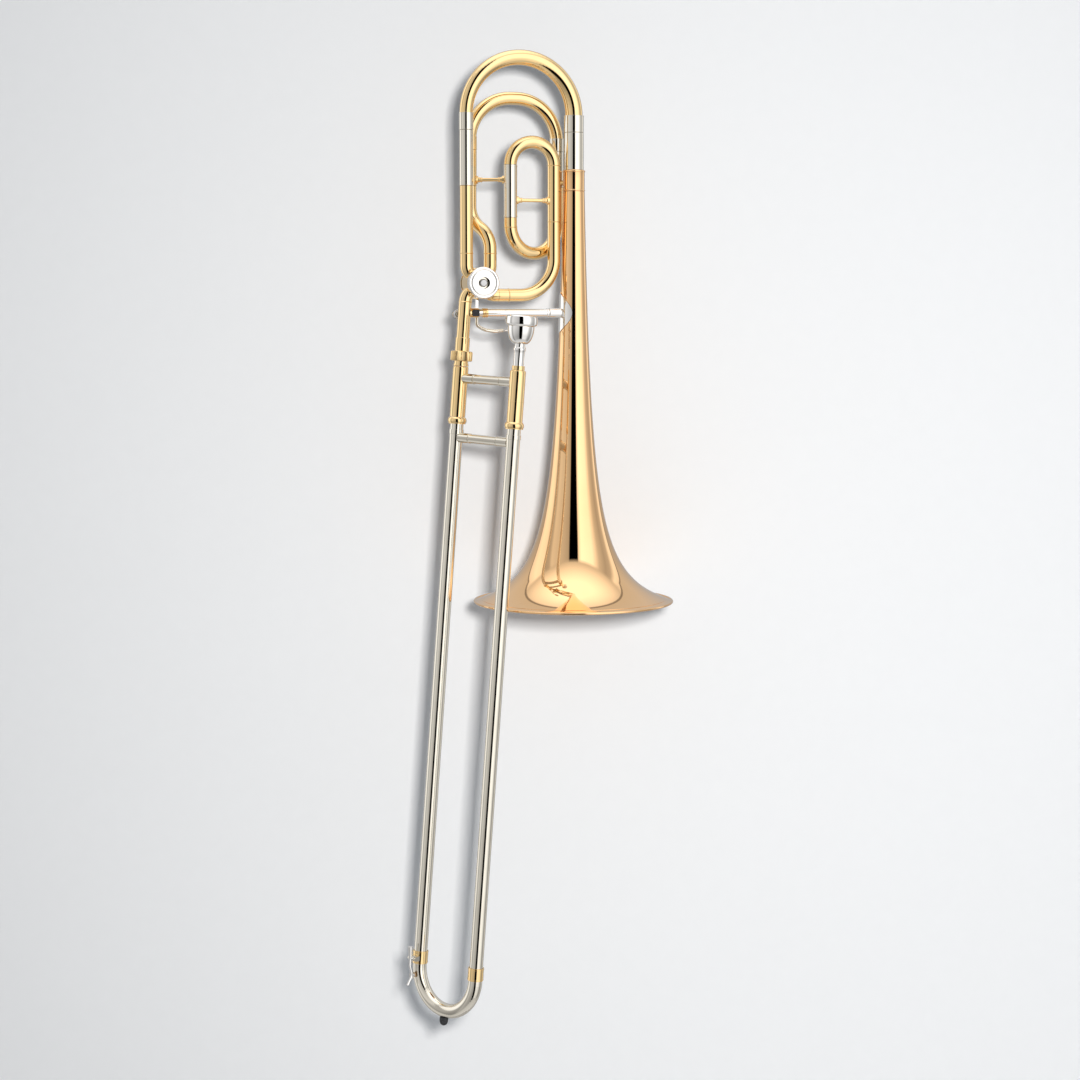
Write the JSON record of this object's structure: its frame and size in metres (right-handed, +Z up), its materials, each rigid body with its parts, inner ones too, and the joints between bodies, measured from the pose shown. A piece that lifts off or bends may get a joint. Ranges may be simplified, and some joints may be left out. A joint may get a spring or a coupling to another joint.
{
  "type": "bass trombone",
  "caption": "Slide trombone with a rotary valve attachment, flared bell, hand slide with cork barrels, tuning slides, thumb lever and mouthpiece.",
  "frame": {"origin": "on the bell's axis inside its throat, 110 mm above the rim's plane, where a stand's peg carries the bell", "axes": "+Z up along the bell's axis, from the mouth to the tuning slide; +X from the neckpipe towards the bell in the bell's plane; +Y away from the mouthpiece side"},
  "size_m": [0.3338, 0.2414, 1.1523],
  "materials": {
    "gold_brass": "clear lacquer, polished",
    "yellow_brass": "clear lacquer, polished",
    "nickel_silver": "polished nickel silver",
    "silver_plate": "bright silver plate",
    "steel": "fine turned",
    "black_rubber": "matt",
    "cork": "plain cork"
  },
  "bodies": {
    "bell_section": {"bell": "gold_brass", "neckpipe": "yellow_brass", "knuckle_neck": "yellow_brass", "knuckle_gooseneck": "yellow_brass", "knuckle_f_out": "yellow_brass", "knuckle_f_return": "yellow_brass", "gooseneck": "yellow_brass", "f_out_tube": "yellow_brass", "f_loop_top_crook": "yellow_brass", "f_loop_bottom_crook": "yellow_brass", "f_return_tube": "yellow_brass", "bell_receiver": "yellow_brass", "valve_casing": "yellow_brass", "loop_stay_upper": "yellow_brass", "loop_stay_lower": "yellow_brass", "bell_stay": "yellow_brass", "bell_side_sleeve": "nickel_silver", "neck_side_sleeve": "nickel_silver", "bearing_plate": "nickel_silver", "f_loop_leg": "nickel_silver", "f_sleeve_bell": "nickel_silver", "f_sleeve_neck": "nickel_silver", "bell_brace": "nickel_silver", "bell_brace_flange": "nickel_silver", "lever_post": "nickel_silver", "lever_spring": "steel", "stop_bumper_rest": "black_rubber", "stop_bumper_pressed": "black_rubber", "brace_bumper": "black_rubber"},
    "rotor_body": {"rotor": "steel", "stop_arm": "steel"},
    "lever": {"thumb_lever": "silver_plate"},
    "link": {"link_rod": "silver_plate"},
    "cap": {"valve_cap": "silver_plate"},
    "lock_nut": {"bell_lock_nut": "yellow_brass"},
    "tuning_slide": {"tuning_crook": "yellow_brass", "tuning_leg_neck": "nickel_silver", "tuning_leg_bell": "nickel_silver"},
    "f_tuning_slide": {"f_crook": "yellow_brass", "f_leg_neck": "nickel_silver", "f_leg_bell": "nickel_silver"},
    "inner_slide": {"slide_tenon": "yellow_brass", "barrel_left": "yellow_brass", "barrel_right": "yellow_brass", "inner_tube_left": "nickel_silver", "inner_tube_right": "nickel_silver", "leadpipe": "yellow_brass", "inner_brace": "nickel_silver"},
    "lock_ring": {"slide_lock_ring": "yellow_brass"},
    "mouthpiece_body": {"mouthpiece": "silver_plate"},
    "outer_slide": {"outer_tube_left": "nickel_silver", "outer_tube_right": "nickel_silver", "outer_brace": "nickel_silver", "crook_ferrule_left": "yellow_brass", "crook_ferrule_right": "yellow_brass", "slide_crook": "nickel_silver", "slide_bumper": "black_rubber", "water_key_saddle": "nickel_silver"},
    "key": {"water_key": "silver_plate", "water_key_cork": "cork"}
  },
  "joints": [
    {"name": "slide_swivel", "type": "hinge", "parent": "bell_section", "child": "inner_slide", "pos_m": [-0.133, 0, 0.2734], "axis": [-0.0741, 0, -0.9973], "range_deg": [-3, 50]},
    {"name": "lock_nut_turn", "type": "hinge", "parent": "bell_section", "child": "lock_nut", "pos_m": [-0.133, 0, 0.2734], "axis": [-0.0741, 0, -0.9973], "continuous": true},
    {"name": "hand_slide", "type": "slide", "parent": "inner_slide", "child": "outer_slide", "axis": [-0.0741, 0, -0.9973], "range_m": [0, 0.6]},
    {"name": "slide_lock_turn", "type": "hinge", "parent": "inner_slide", "child": "lock_ring", "pos_m": [-0.133, 0, 0.2734], "axis": [-0.0741, 0, -0.9973], "range_deg": [0, 30]},
    {"name": "mouthpiece_pull", "type": "slide", "parent": "inner_slide", "child": "mouthpiece_body", "axis": [0.0741, 0, 0.9973], "range_m": [0, 0.03]},
    {"name": "main_tuning_slide", "type": "slide", "parent": "bell_section", "child": "tuning_slide", "axis": [0, 0, 1], "range_m": [0, 0.035]},
    {"name": "f_tuning_slide", "type": "slide", "parent": "bell_section", "child": "f_tuning_slide", "axis": [0, 0, 1], "range_m": [0, 0.035]},
    {"name": "thumb_lever", "type": "hinge", "parent": "bell_section", "child": "lever", "pos_m": [-0.1404, 0.02, 0.2368], "axis": [0, 1, 0], "range_deg": [0, 19.98], "stiffness_Nm_per_rad": 0.06, "springref_deg": -34.38},
    {"name": "link_swing", "type": "hinge", "parent": "lever", "child": "link", "pos_m": [-0.11431, 0.023, 0.2414], "axis": [0, 1, 0], "range_deg": [-20, 0]},
    {"name": "rotor_turn", "type": "hinge", "parent": "bell_section", "child": "rotor_body", "pos_m": [-0.1185, 0, 0.2734], "axis": [0, 1, 0], "range_deg": [0, 90]},
    {"name": "valve_cap_turn", "type": "hinge", "parent": "bell_section", "child": "cap", "pos_m": [-0.1185, 0, 0.2734], "axis": [0, -1, 0], "continuous": true},
    {"name": "water_key", "type": "hinge", "parent": "outer_slide", "child": "key", "pos_m": [-0.20461, -0.00736, -0.5295], "axis": [-0.524, 0.8508, 0.0389], "range_deg": [0, 20], "stiffness_Nm_per_rad": 0.02, "springref_deg": -34.38}
  ],
  "couplings": [
    {"joint": "rotor_turn", "follows": "thumb_lever", "ratio": 4.505},
    {"joint": "link_swing", "follows": "thumb_lever", "ratio": -1}
  ]
}
